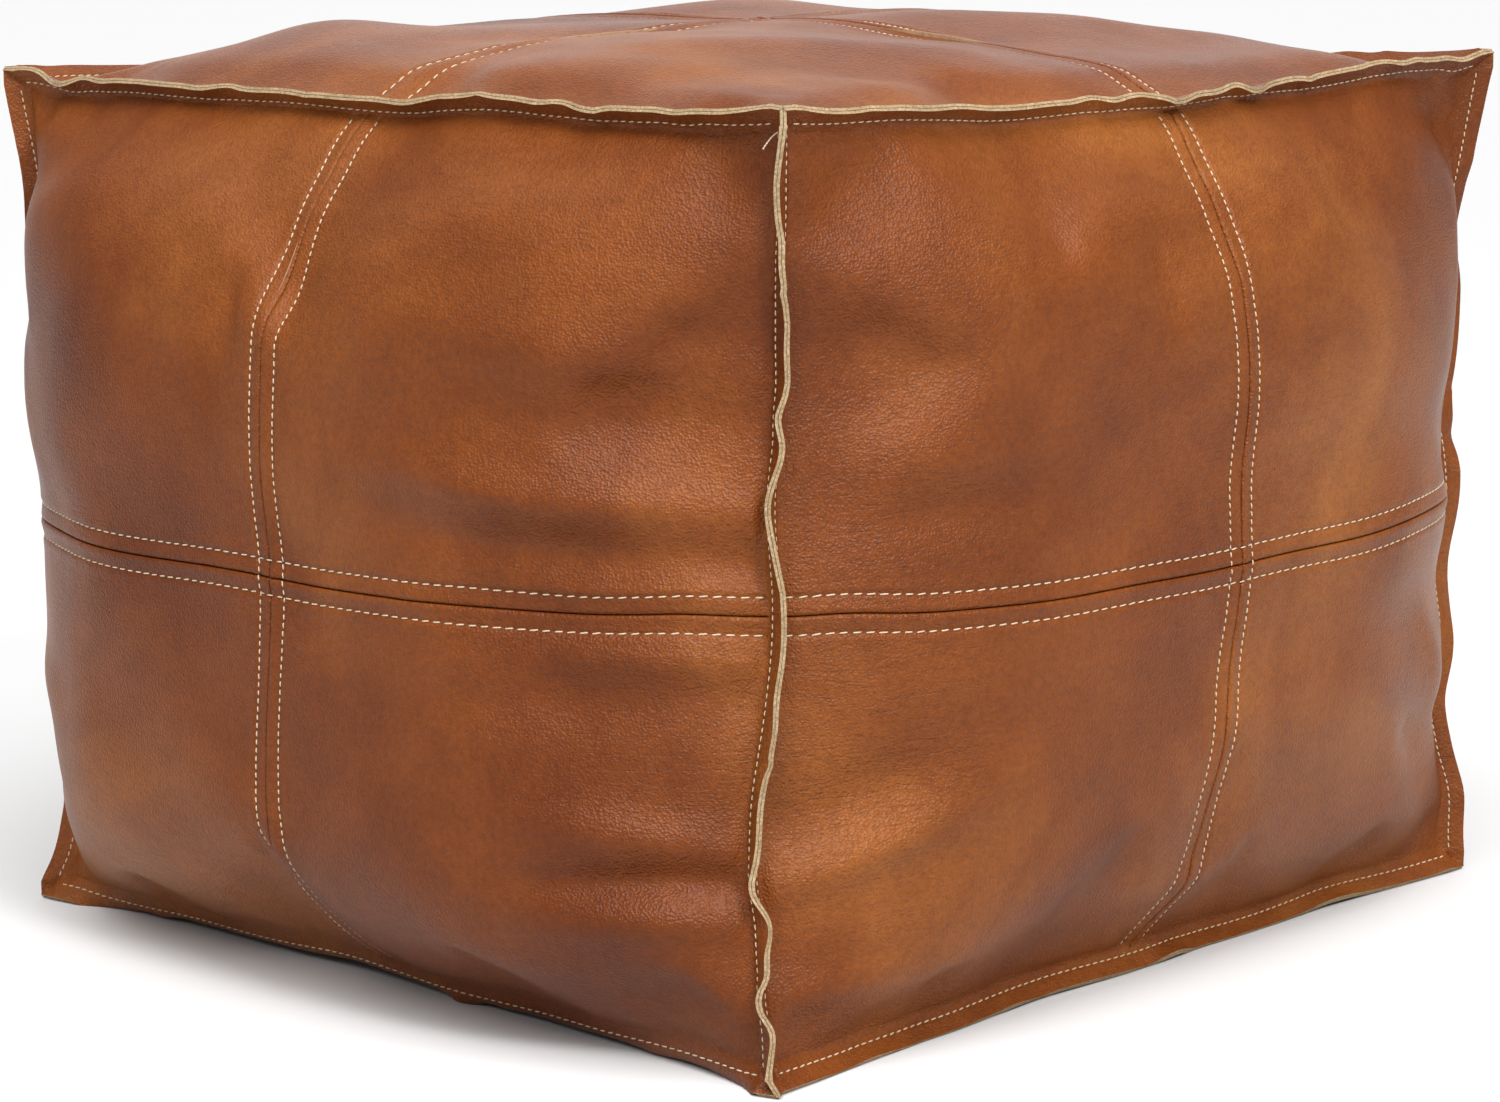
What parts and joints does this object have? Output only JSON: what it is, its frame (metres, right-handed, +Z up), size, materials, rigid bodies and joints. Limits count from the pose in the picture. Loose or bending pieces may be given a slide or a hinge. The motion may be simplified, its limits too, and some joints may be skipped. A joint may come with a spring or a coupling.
{
  "type": "leather pouf",
  "caption": "Square stuffed leather pouf, each face sewn from quarter panels round a cross seam, with raw-edged outward seams, contrast stitching and a zip in the base.",
  "frame": {"origin": "on the floor, under the middle of the pouf", "axes": "+Z up; X and Y are square to the upright faces, and the zip in the base runs along Y"},
  "size_m": [0.603, 0.603, 0.4279],
  "materials": {
    "leather": "satin",
    "thread": "matte",
    "cotton": "matte",
    "wadding": "matte",
    "zip_tape": "matte",
    "zip_coil": "satin",
    "zip_metal": "satin"
  },
  "bodies": {
    "cover": {"back_cross_stitching": "thread", "back_left_edge_stitching": "thread", "back_lower_left_panel": "leather", "back_lower_right_panel": "leather", "back_right_edge_stitching": "thread", "back_upper_left_panel": "leather", "back_upper_right_panel": "leather", "base_back_edge_stitching": "thread", "base_back_left_panel": "leather", "base_back_right_panel": "leather", "base_cross_stitching": "thread", "base_front_edge_stitching": "thread", "base_front_left_panel": "leather", "base_front_right_panel": "leather", "base_left_edge_stitching": "thread", "base_right_edge_stitching": "thread", "cotton_bag": "cotton", "filling": "wadding", "front_cross_stitching": "thread", "front_left_edge_stitching": "thread", "front_lower_left_panel": "leather", "front_lower_right_panel": "leather", "front_right_edge_stitching": "thread", "front_upper_left_panel": "leather", "front_upper_right_panel": "leather", "left_cross_stitching": "thread", "left_lower_back_panel": "leather", "left_lower_front_panel": "leather", "left_upper_back_panel": "leather", "left_upper_front_panel": "leather", "right_cross_stitching": "thread", "right_lower_back_panel": "leather", "right_lower_front_panel": "leather", "right_upper_back_panel": "leather", "right_upper_front_panel": "leather", "top_back_edge_stitching": "thread", "top_back_left_panel": "leather", "top_back_right_panel": "leather", "top_cross_stitching": "thread", "top_front_edge_stitching": "thread", "top_front_left_panel": "leather", "top_front_right_panel": "leather", "top_left_edge_stitching": "thread", "top_right_edge_stitching": "thread", "zip_back_stop": "zip_metal", "zip_front_stop": "zip_metal", "zip_left_coil": "zip_coil", "zip_left_tape": "zip_tape", "zip_right_coil": "zip_coil", "zip_right_tape": "zip_tape", "zip_stitching": "thread"},
    "slider": {"zip_slider": "zip_metal"},
    "pull": {"zip_pull": "zip_metal"}
  },
  "joints": [
    {"name": "zip_slide", "type": "slide", "parent": "cover", "child": "slider", "axis": [0, -1, 0], "range_m": [0, 0.36]},
    {"name": "pull_flip", "type": "hinge", "parent": "slider", "child": "pull", "pos_m": [0, 0.18, 0.00673], "axis": [1, 0, 0], "range_deg": [0, 180]}
  ]
}
